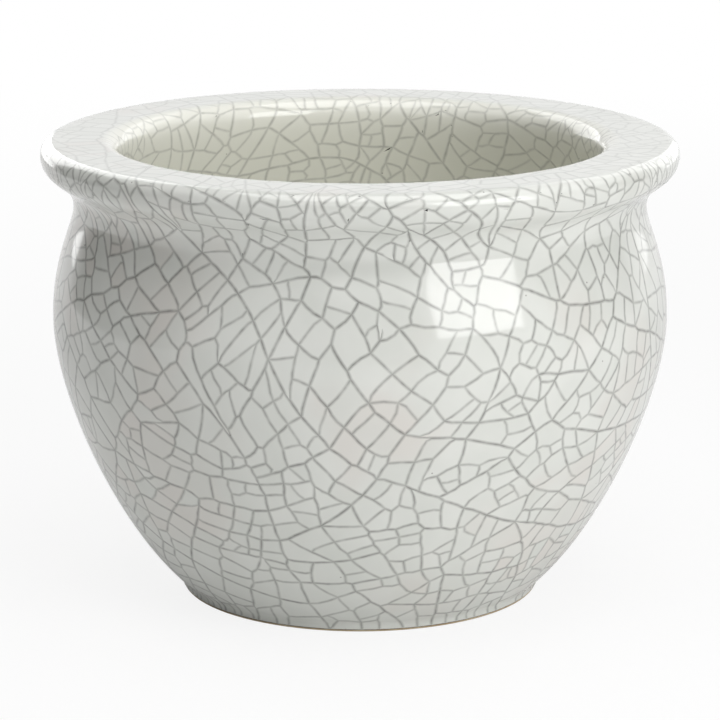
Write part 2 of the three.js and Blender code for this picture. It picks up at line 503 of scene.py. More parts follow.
@dataclass
class CrackleNet:
    """The net of cracks that a thick glaze breaks into as it cools.

    A crack runs until it meets an older one, nearly at a right angle. So the coat is cut in two
    again and again, each patch across its length, until a patch is as small as the glaze can bear.
    """

    seed: int
    cell: float = 13.0  # the side of a square as large as the largest cells, in millimetres
    cell_spread: float = 0.34  # how unlike the cells are, as the deviation of a logarithm
    strain: float = 6.0  # how fast the cells shrink where the glaze is bent round an edge
    least_strained: float = 0.68  # and the least share of their size that they keep
    least: float = 4.4  # side of a square as large as the smallest cell that stays apart
    first_cracks: int = 9  # long cracks, which come first and are the darkest
    first_skipped: float = 0.5  # share of the patches that such a crack spares
    first_reach: float = 85.0  # how far from the middle such a crack may pass
    first_lean: tuple[float, float] = (30.0, 80.0)  # degrees that its plane is off level
    first_dark: tuple[float, float] = (0.8, 1.0)  # how dark it is, where 1 is the darkest
    first_luck: float = 0.1  # share of a turn that its bearing is off an even spread
    middle_height: float = 120.0
    attempts: int = 4  # at a patch that a crack doesn't part
    flat: float = 0.5  # a patch is bent right round the pot where its mean normal is under this
    tries: int = 10  # cracks drawn through a flat patch to take the best of
    turn: float = 40.0  # degrees that each may lean from straight across
    tilt: float = 0.8  # the same where a patch is bent round the pot, as a length beside 1
    shift: float = 0.16  # share of a patch's size that it may lie off the middle
    balance: float = 8.0  # how much worse a crack is that leaves unlike parts
    chance: float = 0.05  # how far luck changes that
    run_on: float = 0.9  # how much better one is that runs on from a crack outside
    wander: float = 13.0  # how far the long bends of a crack reach, and how long they are
    wander_length: float = 80.0
    waver: float = 3.2  # the same for the short bends
    waver_length: float = 32.0
    waver_start: tuple[float, float, float] = (7.0, 3.0, 5.0)  # so that the bends are unlike
    settling: float = 0.45  # how far a crack straightens towards its neighbours, each time
    settlings: int = 2
    hold: float = 3.0  # how much harder a dark crack pulls a meeting straight than a light one
    half_width: float = 1.25  # from the middle of a crack to clean glaze
    widest: float = 2.0  # most that a corner may move for it, in half widths
    easings: int = 16  # rounds of pulling a folded strip narrower, the last ones all the way
    easing: float = 0.4
    folded: float = 1 / 3  # a face whose normal has less than this of its surface's is folded
    snap: float = 0.45  # a crack this close to a corner of the mesh passes through it
    oldest: float = 150.0  # side of the patch whose crack is as dark as the first ones
    lightest: float = 0.55  # darkness of the last and finest cracks beside the first ones
    faintest: float = 0.1  # and what none goes under
    uneven: float = 0.2  # how far the darkness of cracks of one age varies
    unfit: float = 1e6  # how bad a crack is that misses its patch

    def __post_init__(self) -> None:
        """Starts the draw."""
        self.draw = random.Random(self.seed)

    def bent(self, place: Vector) -> Vector:
        """Moves a point into the bent space, in which every crack is flat.

        Args:
            place: The point on the pot.

        Returns:
            Where it goes.
        """
        slow = noise.noise_vector(place / (self.wander_length * MM))
        quick = noise.noise_vector(place / (self.waver_length * MM) + Vector(self.waver_start))
        return place + slow * (self.wander * MM) + quick * (self.waver * MM)

    def crack(self, piece: bpy.types.Object, coated: np.ndarray) -> None:
        """Breaks the coated faces of a piece into cells, and marks the cracks.

        The marks are in the corner attribute "crackle": how near the corner is to the middle of a
        crack, how dark that crack is, and a random number of its cell.

        Args:
            piece: The piece to mark.
            coated: Which of its faces carry the glaze.
        """
        noise.seed_set(self.seed)  # left alone, its offset comes from the clock
        mesh = bmesh.new()
        self.home = mesh.verts.layers.float_vector.new("home")
        self.facing = mesh.verts.layers.float_vector.new("facing")
        self.age = mesh.edges.layers.float.new("age")
        self.cell_of = mesh.faces.layers.int.new("cell")
        patch = self.copied_in_order(mesh, piece.data, coated)
        for face in patch:
            face[self.cell_of] = 1
        for vert in mesh.verts:
            vert[self.home] = vert.co
            vert.co = self.bent(vert.co)
        mesh.normal_update()
        self.cells = 1
        patches = self.long_cracks(patch)
        while patches:
            patches += self.next_crack(patches.pop())
        for vert in mesh.verts:
            vert.co = vert[self.home]
        self.settle(mesh)
        mesh.normal_update()
        for vert in mesh.verts:
            vert[self.home], vert[self.facing] = vert.co, vert.normal
        self.open_cracks(mesh)
        self.ease(mesh)
        mesh.to_mesh(piece.data)
        mesh.free()
        log.info("%s: %d cells", piece.name, self.cells)

    def copied_in_order(
        self, mesh: bmesh.types.BMesh, source: bpy.types.Mesh, coated: np.ndarray
    ) -> list[bmesh.types.BMFace]:
        """Copies a mesh with its corners and faces in an order that their places alone give.

        Blender's own order can change from run to run, and the draw would follow it.

        Args:
            mesh: The mesh to fill.
            source: The mesh to copy.
            coated: Which of its faces carry the glaze.

        Returns:
            The copies of the faces that carry the glaze.
        """
        places = [tuple(round(part / MICRON) for part in vert.co) for vert in source.vertices]
        rank = sorted(range(len(places)), key=places.__getitem__)
        verts = {index: mesh.verts.new(source.vertices[index].co) for index in rank}
        order = {index: position for position, index in enumerate(rank)}
        rings = []
        for polygon, glazed in zip(source.polygons, coated):
            ring = list(polygon.vertices)
            first = min(range(len(ring)), key=lambda corner: order[ring[corner]])
            ring = ring[first:] + ring[:first]
            rings.append(([order[index] for index in ring], ring, bool(glazed)))
        patch = []
        for _, ring, glazed in sorted(rings):
            face = mesh.faces.new([verts[index] for index in ring])
            if glazed:
                patch.append(face)
        mesh.normal_update()
        return patch

    def long_cracks(self, patch: list[bmesh.types.BMFace]) -> list[list[bmesh.types.BMFace]]:
        """Runs the first cracks, which lie slantwise, each through some of the patches so far.

        Args:
            patch: All the faces of the coat.

        Returns:
            The patches that they leave.
        """
        patches = [patch]
        for number in range(self.first_cracks):
            reach = Vector([self.draw.uniform(-1, 1) for _ in range(3)]) * self.first_reach
            place = (Vector((0, 0, self.middle_height)) + reach) * MM
            lean = math.radians(self.draw.uniform(*self.first_lean))
            way = math.tau * (number * GOLDEN + self.draw.uniform(0, self.first_luck))
            across = Vector((math.sin(lean) * math.cos(way), math.sin(lean) * math.sin(way), 0))
            across.z = math.cos(lean)
            grown = []
            for part in patches:
                if len(patches) > 1 and self.draw.random() < self.first_skipped:
                    grown.append(part)
                else:
                    dark = self.draw.uniform(*self.first_dark)
                    grown += self.split(part, place, across, dark)
            patches = grown
        return patches

    def next_crack(self, patch: list[bmesh.types.BMFace]) -> list[list[bmesh.types.BMFace]]:
        """Cracks a patch across its length, unless it is small enough to hold.

        Args:
            patch: The faces of the patch.

        Returns:
            The patches that are left to crack.
        """
        areas = [face.calc_area() for face in patch]
        area = sum(areas)
        limit = self.cell * MM * math.exp(self.draw.gauss(0, self.cell_spread) / 2)
        facing = sum((f.normal * a for f, a in zip(patch, areas)), Vector()) / area
        limit *= max(facing.length**self.strain, self.least_strained)
        if area < limit**2:
            return []
        centre = sum((f.calc_center_median() * a for f, a in zip(patch, areas)), Vector()) / area
        corners = np.array([vert.co for face in patch for vert in face.verts]) - np.array(centre)
        along = Vector(np.linalg.eigh(corners.T @ corners / len(corners))[1][:, 2])
        flat = facing.length > self.flat
        if flat:
            facing.normalize()
            along = (along - facing * along.dot(facing)).normalized() * math.sqrt(area)
        step = math.log(math.sqrt(area) / (self.cell * MM)) / math.log(self.oldest / self.cell)
        dark = self.lightest + (1 - self.lightest) * min(max(step, 0), 1)
        dark += self.draw.uniform(-self.uneven, self.uneven)
        parts = [patch]
        for _ in range(self.attempts):
            if flat:
                place, across = self.fairest(parts[0], centre, facing, along)
            else:
                tilt = Vector([self.draw.uniform(-1, 1) for _ in range(3)]) * self.tilt
                place, across = centre, (along + tilt).normalized()
            parts = self.split(parts[0], place, across, min(max(dark, self.faintest), 1))
            if len(parts) > 1:
                return parts
        return []

    def fairest(
        self, patch: list[bmesh.types.BMFace], centre: Vector, facing: Vector, along: Vector
    ) -> tuple[Vector, Vector]:
        """Draws some cracks through a patch, and takes the one that leaves the roundest parts.

        Some of them start where a crack meets the patch from outside, so that it runs on.

        Args:
            patch: The faces of the patch.
            centre: Its middle.
            facing: The way that it faces, as a unit vector.
            along: The way that it is longest in, as long as the side of its square.

        Returns:
            A point that the crack passes, and the direction square to it.
        """
        number = patch[0][self.cell_of]
        rim = [
            loop
            for face in patch
            for loop in face.loops
            if loop.link_loop_radial_next.face[self.cell_of] != number
        ]
        places, ways, prices = [], [], []
        for _ in range(self.tries):
            lean = math.radians(self.draw.uniform(-self.turn, self.turn))
            places.append(centre + along * self.draw.uniform(-self.shift, self.shift))
            ways.append((Matrix.Rotation(lean, 3, facing) @ along).normalized())
            prices.append(1.0)
        for vert in dict.fromkeys(loop.vert for loop in rim):
            if sum(edge[self.age] > 0 for edge in vert.link_edges) > 2:
                aim = centre + along * self.draw.uniform(-self.shift, self.shift)
                places.append(vert.co.copy())
                ways.append(facing.cross(aim - vert.co).normalized())
                prices.append(self.run_on)
        starts = np.array([loop.vert.co for loop in rim])
        spans = np.array([loop.link_loop_next.vert.co for loop in rim]) - starts
        costs = self.unevenness(starts, spans, np.array(places), np.array(ways), np.array(facing))
        costs *= [price * (1 + self.draw.gauss(0, self.chance)) for price in prices]
        best = int(np.argmin(costs))
        return places[best], ways[best]

    def unevenness(
        self,
        starts: np.ndarray,
        spans: np.ndarray,
        places: np.ndarray,
        ways: np.ndarray,
        facing: np.ndarray,
    ) -> np.ndarray:
        """How far from round and alike the parts are that each of some straight cracks leaves.

        Args:
            starts: The starts of the steps round the patch, one a row.
            spans: The steps.
            places: A point of each crack, one a row.
            ways: The direction square to each.
            facing: The way that the patch faces, as a unit vector.

        Returns:
            A number for each crack, which is least for two squares of one size.
        """
        offsets = starts[None] - places[:, None]
        near = np.einsum("kmi,ki->km", offsets, ways)
        far = near + ways @ spans.T
        crossed = near * far < 0
        share = np.divide(near, near - far, out=np.zeros_like(near), where=crossed)
        beyond = np.where(crossed, np.where(near > 0, share, 1 - share), near + far > 0)
        swept = np.cross(offsets, spans[None]) @ facing / 2
        along = np.einsum("kmi,ki->km", offsets + spans * share[..., None], np.cross(facing, ways))
        met = crossed | (near == 0)
        crack = np.where(met, along, -1).max(axis=1) - np.where(met, along, 1).min(axis=1)
        steps = np.linalg.norm(spans, axis=1)
        areas = np.array([(swept * part).sum(axis=1) for part in (beyond, 1 - beyond)])
        rims = np.array([part @ steps for part in (beyond, 1 - beyond)]) + crack
        whole = areas.sum(axis=0)
        fit = (areas.min(axis=0) > 0) & met.any(axis=1)
        roughness = (rims**2 / np.where(fit, areas, 1)).mean(axis=0)
        unlike = (np.diff(areas, axis=0)[0] / whole) ** 2
        return np.where(fit, roughness + unlike * self.balance, self.unfit)

    def split(
        self, patch: list[bmesh.types.BMFace], place: Vector, across: Vector, dark: float
    ) -> list[list[bmesh.types.BMFace]]:
        """Runs one crack through a patch.

        Args:
            patch: The faces of the patch.
            place: A point that the crack passes.
            across: The direction square to the crack.
            dark: How dark it is, up to 1.

        Returns:
            The patches that it leaves.
        """
        number = patch[0][self.cell_of]
        verts = dict.fromkeys(vert for face in patch for vert in face.verts)
        edges = dict.fromkeys(edge for face in patch for edge in face.edges)
        beyond = {vert: (vert.co - place).dot(across) for vert in verts}
        passed = {vert for vert in verts if abs(beyond[vert]) < self.snap * MM}
        for edge in edges:
            near, far = edge.verts
            if near in passed or far in passed or beyond[near] * beyond[far] > 0:
                continue
            share = beyond[near] / (beyond[near] - beyond[far])
            passed.add(bmesh.utils.edge_split(edge, near, share)[1])
        faces = list(patch)
        for face in patch:
            corners = list(face.verts)
            ends = [index for index, vert in enumerate(corners) if vert in passed]
            if len(ends) > 1 and ends[-1] - ends[0] not in (1, len(corners) - 1):
                faces.append(bmesh.utils.face_split(face, corners[ends[0]], corners[ends[-1]])[0])
        fresh = set()
        for face in faces:
            for edge in face.edges:
                if edge[self.age] == 0 and passed.issuperset(edge.verts):
                    if [other[self.cell_of] for other in edge.link_faces] == [number, number]:
                        edge[self.age] = dark
                        fresh.add(edge)
        parts = self.parts_of(faces)
        slivers = [part for part in parts if area_of(part) < (self.least * MM) ** 2]
        if slivers and len(parts) > 1:
            for edge in {edge for part in slivers for face in part for edge in face.edges}:
                if edge in fresh:
                    edge[self.age] = 0
            parts = self.parts_of(faces)
        for part in parts[1:]:
            self.cells += 1
            for face in part:
                face[self.cell_of] = self.cells
        return parts

    def parts_of(self, faces: list[bmesh.types.BMFace]) -> list[list[bmesh.types.BMFace]]:
        """Finds the patches that cracks part faces into.

        Args:
            faces: The faces.

        Returns:
            The faces of each patch.
        """
        unseen = dict.fromkeys(faces)
        parts = []
        while unseen:
            part = [unseen.popitem()[0]]
            for face in part:
                for edge in face.edges:
                    if edge[self.age] == 0:
                        for other in edge.link_faces:
                            if other in unseen:
                                del unseen[other]
                                part.append(other)
            parts.append(part)
        return parts

    def settle(self, mesh: bmesh.types.BMesh) -> None:
        """Draws the cracks tight, which rounds their bends and opens their meetings.

        Args:
            mesh: The cracked mesh.
        """
        cracked, clear = {}, {}
        for vert in mesh.verts:
            if all(face[self.cell_of] for face in vert.link_faces):
                pulls = [(e.other_vert(vert), e[self.age] ** self.hold) for e in vert.link_edges]
                if any(pull for _, pull in pulls):
                    cracked[vert] = pulls
                else:
                    clear[vert] = [(other, 1.0) for other, _ in pulls]
        for _ in range(self.settlings):
            for group in (cracked, clear):
                moved = {}
                for vert, pulls in group.items():
                    middle = sum((other.co * pull for other, pull in pulls), Vector())
                    middle /= sum(pull for _, pull in pulls)
                    moved[vert] = vert.co.lerp(middle, self.settling)
                for vert, place in moved.items():
                    vert.co = place

    def open_cracks(self, mesh: bmesh.types.BMesh) -> None:
        """Lays a narrow strip of faces along both sides of each crack, and marks its corners.

        Args:
            mesh: The cracked mesh.
        """
        glazed = [face for face in mesh.faces if face[self.cell_of]]
        rims = [
            edge
            for edge in mesh.edges
            if edge[self.age] > 0 or len({bool(f[self.cell_of]) for f in edge.link_faces}) == 2
        ]
        bmesh.ops.split_edges(mesh, edges=rims)
        strips = bmesh.ops.inset_region(
            mesh,
            faces=glazed,
            use_boundary=True,
            use_even_offset=True,
            thickness=self.half_width * MM,
        )["faces"]
        cracked = {
            vert
            for edge in mesh.edges
            if edge.is_boundary and edge[self.age] > 0
            for vert in edge.verts
        }
        marks = mesh.loops.layers.float_color.new("crackle")
        tints = [self.draw.random() for _ in range(self.cells + 1)]
        darkness = {
            face: max((edge[self.age] for edge in face.edges if edge.is_boundary), default=0)
            for face in strips
        }
        for face in mesh.faces:
            dark = darkness.get(face, 0)
            tint = tints[face[self.cell_of]]
            for loop in face.loops:
                loop[marks] = (float(loop.vert in cracked), dark, tint, 1.0)
        edge_verts = [vert for vert in mesh.verts if vert.is_boundary]
        bmesh.ops.remove_doubles(mesh, verts=edge_verts, dist=MICRON)

    def ease(self, mesh: bmesh.types.BMesh) -> None:
        """Narrows the strips where a cell is too small for them, so that hardly any folds over.

        Args:
            mesh: The cracked mesh with its strips.
        """
        most = self.half_width * MM * self.widest
        for vert in mesh.verts:
            moved = vert.co - vert[self.home]
            if moved.length > most:
                vert.co = vert[self.home] + moved.normalized() * most
        for number in range(self.easings):
            pull = self.easing if number < self.easings / 2 else 1.0
            mesh.normal_update()
            folded = [
                face
                for face in mesh.faces
                if sum(face.normal.dot(vert[self.facing]) for vert in face.verts)
                < len(face.verts) * self.folded
            ]
            for vert in dict.fromkeys(vert for face in folded for vert in face.verts):
                vert.co = vert.co.lerp(vert[self.home], pull)


# ---- Nodes ---------------------------------------------------------------------------------------


def colour(code: str) -> tuple[float, float, float, float]:
    """Reads a colour.

    Args:
        code: Its sRGB hex code, such as "d3d6cf".

    Returns:
        The linear colour, with nothing of it clear.
    """
    shares = [int(code[start : start + 2], 16) / 255 for start in (0, 2, 4)]
    linear = [s / 12.92 if s <= 0.04045 else ((s + 0.055) / 1.055) ** 2.4 for s in shares]
    return (*linear, 1.0)


def blots(place: bpy.types.NodeSocket, size: float, detail: float) -> dict[str, object]:
    """The inputs of a soft noise whose blots are `size` millimetres across."""
    return {"Vector": place, "Scale": 1 / (size * MM), "Detail": detail}


class Ray(Enum):
    """The rays that the studio shows white to."""

    CAMERA = "Is Camera Ray"
    GLOSSY = "Is Glossy Ray"
    TRANSMISSION = "Is Transmission Ray"


class Slot(Enum):
    """The record's material slots."""

    BISCUIT = "biscuit"
    GLAZE = "glaze"
    UNDER_GLAZE = "under_glaze"


@dataclass
class Shading:
    """The node tree of a material or a world, started afresh."""

    owner: bpy.types.Material | bpy.types.World

    def __post_init__(self) -> None:
        """Clears the tree."""
        self.owner.use_nodes = True
        self.tree = self.owner.node_tree
        self.tree.nodes.clear()

    def add(
        self, kind: str, inputs: dict[str | int, object] | None = None, **settings: object
    ) -> bpy.types.Node:
        """Adds a node.

        Args:
            kind: The node's type, without the "ShaderNode" that they all start with.
            inputs: What each input holds, by name or number: a value, or the socket linked to it,
                or the node whose first output is.
            **settings: The node's own settings.

        Returns:
            The node.
        """
        node = self.tree.nodes.new("ShaderNode" + kind)
        for name, value in settings.items():
            setattr(node, name, value)
        for name, value in (inputs or {}).items():
            if isinstance(value, bpy.types.Node):
                value = value.outputs[0]
            if isinstance(value, bpy.types.NodeSocket):
                self.tree.links.new(value, node.inputs[name])
            else:
                node.inputs[name].default_value = value
        return node


# ---- Finishes ------------------------------------------------------------------------------------


@dataclass(frozen=True)
class CrackleGlaze:
    """Thick celadon glaze on stoneware, dipped, and crackled as it cooled.

    A glassy coat, so it is clear at the edge of the eye and mirrors the studio. Its iron gives it
    a cool grey-green, and it blushes to a warm grey in patches. The cracks lie in the glass and
    not on it, so they darken the colour and leave the gloss.
    """

    name: str = "celadon_crackle_glaze"
    cool: str = "d6d8d2"
    pale: str = "e2e3de"
    warm: str = "dad5cf"
    painted_light_inside: str = "eeeee5"  # painted light: the glaze inside the bowl, painted lighter than it is
    stain: str = "62615d"
    speck: str = "6a6259"
    crack_ages: tuple[float, float] = (0.2, 1.0)  # darkness of a light crack and a dark one
    crack_fade: tuple[float, float] = (1.5, 1.1)  # how steeply the stain clears, light to dark
    crack_depth: tuple[float, float] = (0.42, 0.77)  # how much of it shows, light to dark
    painted_glare_level_stain: float = 0.45  # how much of the stain the level top of the rim keeps, faded there as a painted glare
    inner_stain: float = 0.66  # and inside the bowl, where the glaze is also painted lighter
    roughness: float = 0.09
    ior: float = 1.5
    blush: float = 70.0  # millimetres across a warm patch
    blush_band: tuple[float, float] = (0.5, 0.66)  # of the noise, where a patch sets in
    blush_share: float = 0.75
    cloud: float = 22.0  # millimetres across a cloud of paler glaze
    cloud_share: float = 0.5
    fold: float = 0.13  # folds the random number of a cell into a second one, up to this
    cell_share: float = 3.5  # how much paler that makes a cell
    smudge: float = 5.0  # length of the darker and paler stretches of a crack
    smudge_shares: tuple[float, float] = (0.62, 1.1)  # of the stain, in such stretches
    pinhole_spacing: float = 17.0
    pinhole: float = 0.55  # radius
    pinhole_core: float = 0.4  # share of it that is darkest
    pinhole_share: float = 0.7
    ripple: float = 26.0  # across the slow waves of the surface
    ripple_depth: float = 0.05

    def material(self) -> bpy.types.Material:
        """Makes the material, which reads the marks of the crackle net and of the coat.

        Returns:
            The material.
        """
        material = bpy.data.materials.new(self.name)
        shading = Shading(material)
        place = shading.add("TexCoord").outputs["Object"]
        marks = shading.add("Attribute", attribute_name="crackle")
        inside = shading.add("Attribute", attribute_name="inside").outputs["Fac"]
        level = shading.add("Attribute", attribute_name="level").outputs["Fac"]
        near, dark, tint = shading.add("SeparateColor", {0: marks}).outputs

        glaze = self.glaze(shading, place, tint, inside)
        stain = self.stained(shading, place, (near, dark), (inside, level))
        cracked = shading.add("MixRGB", {0: stain, 1: glaze, 2: colour(self.stain)})

        spread = {"Vector": place, "Scale": 1 / (self.pinhole_spacing * MM)}
        holes = shading.add("TexVoronoi", spread).outputs["Distance"]
        radius = self.pinhole / self.pinhole_spacing
        core = radius * self.pinhole_core
        hole = shading.add(
            "MapRange",
            {0: holes, 1: core, 2: radius, 3: self.pinhole_share, 4: 0.0},
            interpolation_type="SMOOTHSTEP",
        )
        spotted = shading.add("MixRGB", {0: hole, 1: cracked, 2: colour(self.speck)})

        waves = shading.add("TexNoise", blots(place, self.ripple, detail=1.0))
        bump = shading.add(
            "Bump", {"Height": waves, "Distance": self.ripple_depth * MM, "Strength": 1.0}
        )
        coat = {"Base Color": spotted, "Roughness": self.roughness, "IOR": self.ior, "Normal": bump}
        shader = shading.add("BsdfPrincipled", coat)
        shading.add("OutputMaterial", {"Surface": shader})
        return material

    def glaze(
        self,
        shading: Shading,
        place: bpy.types.NodeSocket,
        tint: bpy.types.NodeSocket,
        inside: bpy.types.NodeSocket,
    ) -> bpy.types.Node:
        """The colour of the clean glaze, which differs a little from cell to cell, and is painted
        lighter inside the bowl as painted light.

        Args:
            shading: The material's nodes.
            place: The place on the pot.
            tint: The random number of the cell.
            inside: How far the place is inside the bowl.

        Returns:
            The colour.
        """
        start, end = self.blush_band
        patches = shading.add("TexNoise", blots(place, self.blush, detail=2.0))
        blush = shading.add(
            "MapRange",
            {0: patches, 1: start, 2: end, 3: 0.0, 4: self.blush_share},
            interpolation_type="SMOOTHSTEP",
        )
        warmth = shading.add("Math", {0: blush, 1: tint}, operation="MULTIPLY")
        clouds = shading.add("TexNoise", blots(place, self.cloud, detail=3.0))
        cloud = shading.add(
            "MapRange", {0: clouds, 1: NOISE_LOW, 2: NOISE_HIGH, 3: 0.0, 4: self.cloud_share}
        )
        second = shading.add("Math", {0: tint, 1: self.fold}, operation="PINGPONG")
        paleness = shading.add(
            "Math", {0: second, 1: self.cell_share, 2: cloud}, operation="MULTIPLY_ADD"
        )
        clean = shading.add("MixRGB", {0: paleness, 1: colour(self.cool), 2: colour(self.pale)})
        blushed = shading.add("MixRGB", {0: warmth, 1: clean, 2: colour(self.warm)})
        # Painted light: inside the bowl the glaze is painted lighter than it is.
        return shading.add("MixRGB", {0: inside, 1: blushed, 2: colour(self.painted_light_inside)})

    def stained(
        self,
        shading: Shading,
        place: bpy.types.NodeSocket,
        crack: tuple[bpy.types.NodeSocket, bpy.types.NodeSocket],
        painted_light_masks: tuple[bpy.types.NodeSocket, bpy.types.NodeSocket],
    ) -> bpy.types.Node:
        """How much of the cracks' stain shows.

        Args:
            shading: The material's nodes.
            place: The place on the pot.
            crack: How near a crack's middle is, and how dark that crack is.
            painted_light_masks: How far the place is inside the bowl, and how far on the level top of the rim.

        Returns:
            The share, up to about 1.
        """
        near, dark = crack
        light, heavy = self.crack_ages
        thin, thick = self.crack_fade
        faint, deep = self.crack_depth
        dull, strong = self.smudge_shares
        fade = shading.add("MapRange", {0: dark, 1: light, 2: heavy, 3: thin, 4: thick})
        core = shading.add("Math", {0: near, 1: fade}, operation="POWER")
        smudges = shading.add("TexNoise", blots(place, self.smudge, detail=2.0))
        uneven = {0: smudges, 1: NOISE_LOW, 2: NOISE_HIGH, 3: dull, 4: strong}
        shares = [
            shading.add("MapRange", {0: dark, 1: 0.0, 2: 1.0, 3: faint, 4: deep}),
            shading.add("MapRange", uneven),
        ]
        # Painted light: the stain is thinned inside the bowl, where the glaze is painted lighter,
        # and on the level top of the rim as a painted glare.
        for painted_light_mask, kept in zip(painted_light_masks, (self.inner_stain, self.painted_glare_level_stain)):
            shares.append(shading.add("MapRange", {0: painted_light_mask, 1: 0.0, 2: 1.0, 3: 1.0, 4: kept}))
        for share in shares:
            core = shading.add("Math", {0: core, 1: share}, operation="MULTIPLY")
        return core


@dataclass(frozen=True)
class Biscuit:
    """Fired stoneware left bare on the foot ring, wiped clean of glaze with a sponge.

    Matt and warm beige, with a fine grit, and browner where the damp glaze line stained it.
    """

    name: str = "biscuit_stoneware"
    clay: str = "cbbb9f"
    toast: str = "b09a78"
    roughness: float = 0.85
    ior: float = 1.5
    mottle: float = 12.0  # millimetres across a toasted patch
    grit: float = 0.8  # and across a grain, drawn coarser than the real ones so that it shows
    grit_depth: float = 0.08
    toast_band: tuple[float, float] = (0.35, 0.7)  # of the noise, where a patch sets in
    grit_shares: tuple[float, float] = (0.86, 1.06)  # of the colour, in dark and light grains

    def material(self) -> bpy.types.Material:
        """Makes the material.

        Returns:
            The material.
        """
        material = bpy.data.materials.new(self.name)
        shading = Shading(material)
        place = shading.add("TexCoord").outputs["Object"]
        mottle = shading.add("TexNoise", blots(place, self.mottle, detail=4.0))
        grit = shading.add("TexNoise", blots(place, self.grit, detail=2.0))
        start, end = self.toast_band
        toasted = shading.add("MapRange", {0: mottle, 1: start, 2: end, 3: 0.0, 4: 1.0})
        body = shading.add("MixRGB", {0: toasted, 1: colour(self.clay), 2: colour(self.toast)})
        dim, bright = self.grit_shares
        grain = shading.add("MapRange", {0: grit, 1: NOISE_LOW, 2: NOISE_HIGH, 3: dim, 4: bright})
        grained = shading.add("MixRGB", {0: 1.0, 1: body, 2: grain}, blend_type="MULTIPLY")
        bump = shading.add("Bump", {"Height": grit, "Distance": self.grit_depth * MM})
        bare = {"Base Color": grained, "Roughness": self.roughness, "IOR": self.ior, "Normal": bump}
        shader = shading.add("BsdfPrincipled", bare)
        shading.add("OutputMaterial", {"Surface": shader})
        return material


# ---- The pot -------------------------------------------------------------------------------------


@dataclass
class Pot:
    """The fired pot: its clay, the coat of glaze over it, and the pool of glaze under its foot."""

    form: PotForm
    net: CrackleNet
    base_net: CrackleNet
    sides: int = 92  # steps of a turn
    hidden: float = 12.0  # spacing of the mesh rows where the glaze covers the clay
    exact: float = 0.5  # spacing of the points that the finished face is fitted to
    crease: float = math.radians(35)  # edges of the clay sharper than this stay sharp
    lip_turn: float = 2.0  # how soon the lip's turn towards the axis counts as inside the bowl
    level_fade: float = 3.0  # how soon a turn off level counts as off the top of the rim

    def clay_body(self) -> bpy.types.Object:
        """Turns the clay, which shows on the foot ring.

        Returns:
            The piece.
        """
        piece = turned("stoneware_body", Profile(self.form.clay_outline(self.hidden)), self.sides)
        deselect_all()
        piece.select_set(True)
        bpy.ops.object.shade_smooth_by_angle(angle=self.crease)
        return piece

    def crackle_glaze(self) -> bpy.types.Object:
        """Turns the coat of glaze, and cracks it.

        Returns:
            The piece.
        """
        piece = turned("glaze_coat", Profile(self.form.glaze_coat(self.hidden)), self.sides)
        exact = replace(self.form, broad=self.exact, tight=self.exact)
        back = [curve.reversed() for curve in exact.clay_face(self.exact)[::-1]]
        self.crackle(piece, self.net, Profile(exact.finished()), Profile(back))
        return piece

    def base_glaze(self) -> bpy.types.Object:
        """Turns the pool of glaze in the recess, and cracks it.

        Returns:
            The piece.
        """
        outline = self.form.base_glaze()
        piece = turned("foot_glaze", Profile(outline), self.sides)
        self.crackle(piece, self.base_net, Profile(outline[:-1]), Profile(outline[-1:]))
        return piece

    def crackle(
        self, piece: bpy.types.Object, net: CrackleNet, face: Profile, back: Profile
    ) -> None:
        """Cracks the face of a coat and gives it the smooth look of its true form.

        It marks each point, for the glaze: how far it is "inside" the bowl, and how far on the
        "level" top of the rim, which the glaze uses to paint light there.

        Args:
            piece: The turned coat.
            net: The cracks.
            face: The profile of the face that shows.
            back: The profile of the side against the clay.
        """
        middles = np.array([polygon.center for polygon in piece.data.polygons])
        facings = np.array([polygon.normal for polygon in piece.data.polygons])
        _, outwards, gap = face.nearest(middles)
        coated = (gap < back.nearest(middles)[2]) & ((facings * outwards).sum(axis=1) > 0)
        net.crack(piece, coated)
        mesh = piece.data
        places = np.array([vert.co for vert in mesh.vertices])
        cells = mesh.attributes["cell"].data
        shown = np.zeros(len(places), bool)
        for polygon in mesh.polygons:
            if cells[polygon.index].value:
                shown[list(polygon.vertices)] = True
        fitted, normals, _ = face.nearest(places)
        fitted[~shown], normals[~shown] = places[~shown], back.nearest(places[~shown])[1]
        for name in ("home", "facing", "age", "cell"):
            mesh.attributes.remove(mesh.attributes[name])
        mesh.vertices.foreach_set("co", fitted.ravel())
        inwards = -(normals[:, :2] * places[:, :2]).sum(axis=1)
        inwards /= np.maximum(np.hypot(places[:, 0], places[:, 1]), MM)
        high = places[:, 2] > self.form.bowl_height * MM
        bottom = np.where(high, 0, normals[:, 2])
        marks = {
            "inside": np.maximum(inwards, bottom) * self.lip_turn,
            "level": np.where(high, 1 - (1 - normals[:, 2]) * self.level_fade, 0),
        }
        for name, values in marks.items():
            mark = mesh.attributes.new(name, "FLOAT", "POINT")
            mark.data.foreach_set("value", np.clip(values, 0, 1))
        mesh.shade_smooth()
        mesh.normals_split_custom_set_from_vertices(normals.tolist())

    def build(self) -> None:
        """Makes the pieces, dresses them, and puts each in the place of its node."""
        glazed = CrackleGlaze().material()
        for piece, node, slot, material in (
            (self.clay_body(), "clay_body", Slot.BISCUIT, Biscuit().material()),
            (self.crackle_glaze(), "crackle_glaze", Slot.GLAZE, glazed),
            (self.base_glaze(), "base_glaze", Slot.UNDER_GLAZE, glazed),
        ):
            piece.data.materials.append(material)
            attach(piece, BODY)
            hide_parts(node)
            log.info("%s stands for %s", piece.name, node)


# ---- The studio ----------------------------------------------------------------------------------


